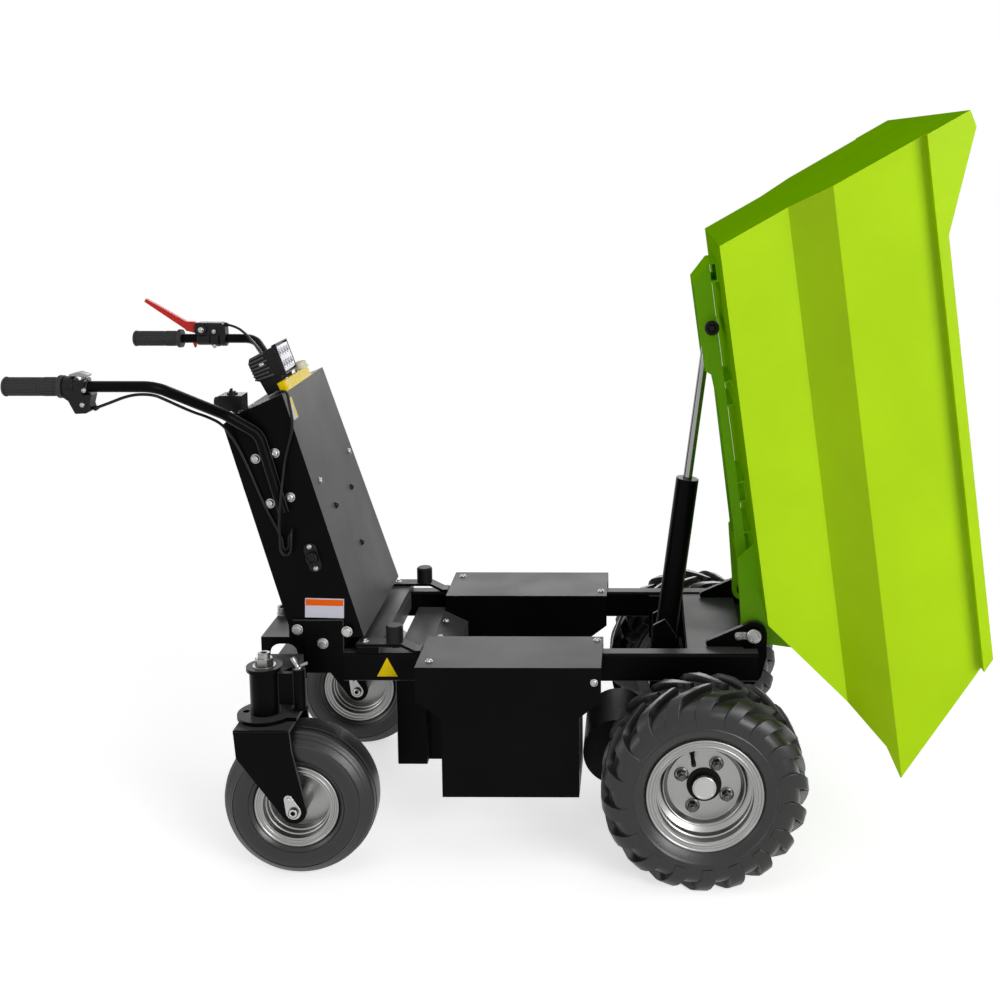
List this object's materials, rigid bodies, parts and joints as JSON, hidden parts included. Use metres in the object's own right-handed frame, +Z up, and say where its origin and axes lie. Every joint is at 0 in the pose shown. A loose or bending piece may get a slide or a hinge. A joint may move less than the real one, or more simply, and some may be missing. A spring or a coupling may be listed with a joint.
{
  "type": "site dumper",
  "caption": "Walk-behind battery mini dumper with a tipping tray, two drive wheels, two swivel casters and a handlebar column.",
  "frame": {"origin": "middle of the overall length with the tray raised, on the centre plane, on the ground; the drive axle is at X = 0.40201 m", "axes": "+X forward to the tray, +Y to the left of a person who walks behind it, +Z up"},
  "size_m": [1.904, 0.83, 1.5286],
  "materials": {
    "tray_green": "gloss paint",
    "black_steel": "satin powder coat",
    "motor_black": "matt",
    "tyre_rubber": "matt",
    "zinc": "zinc plated",
    "rod_chrome": "polished",
    "rubber": "matt",
    "cable_black": "satin",
    "battery_case": "matt",
    "lamp_black": "satin",
    "lever_red": "gloss",
    "switch_yellow": "gloss"
  },
  "bodies": {
    "chassis": {"axle_hangers": "black_steel", "batteries": "battery_case", "battery_boxes": "black_steel", "battery_covers": "black_steel", "brake_lever": "lever_red", "brake_perch": "lamp_black", "buffer_straps": "black_steel", "buffers": "rubber", "caster_arms": "black_steel", "column_cradle": "black_steel", "column_shell": "black_steel", "control_box": "black_steel", "control_cables": "cable_black", "crossmembers": "black_steel", "cylinder_clevis": "black_steel", "deck_plate": "black_steel", "drive_motor": "motor_black", "grips": "rubber", "handlebars": "black_steel", "hinge_brackets": "black_steel", "key_switch": "lamp_black", "rails": "black_steel", "rear_channel": "black_steel", "stop_switch": "switch_yellow", "throttle": "lamp_black", "transaxle": "black_steel", "work_lamp": "lamp_black"},
    "bed": {"tray_sides": "tray_green", "tray_floor": "tray_green", "tray_rear_wall": "tray_green", "tray_front_wall": "tray_green", "tray_beam": "tray_green", "hinge_arms": "tray_green"},
    "cylinder_tube": {"cylinder_barrel": "black_steel"},
    "cylinder_piston": {"cylinder_rod": "rod_chrome"},
    "drive_wheel_right": {"drive_tyre_right": "tyre_rubber", "drive_rim_right": "zinc", "drive_hub_right": "motor_black"},
    "drive_wheel_left": {"drive_tyre_left": "tyre_rubber", "drive_rim_left": "zinc", "drive_hub_left": "motor_black"},
    "caster_right": {"caster_fork_right": "black_steel"},
    "caster_left": {"caster_fork_left": "black_steel"},
    "caster_wheel_right": {"caster_tyre_right": "tyre_rubber", "caster_rim_right": "zinc"},
    "caster_wheel_left": {"caster_tyre_left": "tyre_rubber", "caster_rim_left": "zinc"}
  },
  "joints": [
    {"name": "bed_tilt", "type": "hinge", "parent": "chassis", "child": "bed", "pos_m": [0.51401, 0, 0.444], "axis": [0, -1, 0], "range_deg": [0, 76.7]},
    {"name": "cylinder_swing", "type": "hinge", "parent": "chassis", "child": "cylinder_tube", "pos_m": [0.32701, 0, 0.35], "axis": [0, -1, 0], "range_deg": [0, 78.96]},
    {"name": "rod_slide", "type": "slide", "parent": "cylinder_tube", "child": "cylinder_piston", "axis": [0.1294, 0, 0.9916], "range_m": [-0.25874, 0]},
    {"name": "drive_right_turn", "type": "hinge", "parent": "chassis", "child": "drive_wheel_right", "pos_m": [0.40201, -0.335, 0.205], "axis": [0, 1, 0], "continuous": true},
    {"name": "caster_right_swivel", "type": "hinge", "parent": "chassis", "child": "caster_right", "pos_m": [-0.48199, -0.299, 0.332], "axis": [0, 0, 1], "continuous": true},
    {"name": "caster_right_roll", "type": "hinge", "parent": "caster_right", "child": "caster_wheel_right", "pos_m": [-0.41299, -0.299, 0.155], "axis": [0, 1, 0], "continuous": true},
    {"name": "drive_left_turn", "type": "hinge", "parent": "chassis", "child": "drive_wheel_left", "pos_m": [0.40201, 0.335, 0.205], "axis": [0, 1, 0], "continuous": true},
    {"name": "caster_left_swivel", "type": "hinge", "parent": "chassis", "child": "caster_left", "pos_m": [-0.48199, 0.299, 0.332], "axis": [0, 0, 1], "continuous": true},
    {"name": "caster_left_roll", "type": "hinge", "parent": "caster_left", "child": "caster_wheel_left", "pos_m": [-0.41299, 0.299, 0.155], "axis": [0, 1, 0], "continuous": true}
  ],
  "couplings": [
    {"joint": "cylinder_swing", "follows": "bed_tilt", "ratio": 1.0294},
    {"joint": "rod_slide", "follows": "bed_tilt", "m_per_rad": -0.19321}
  ]
}
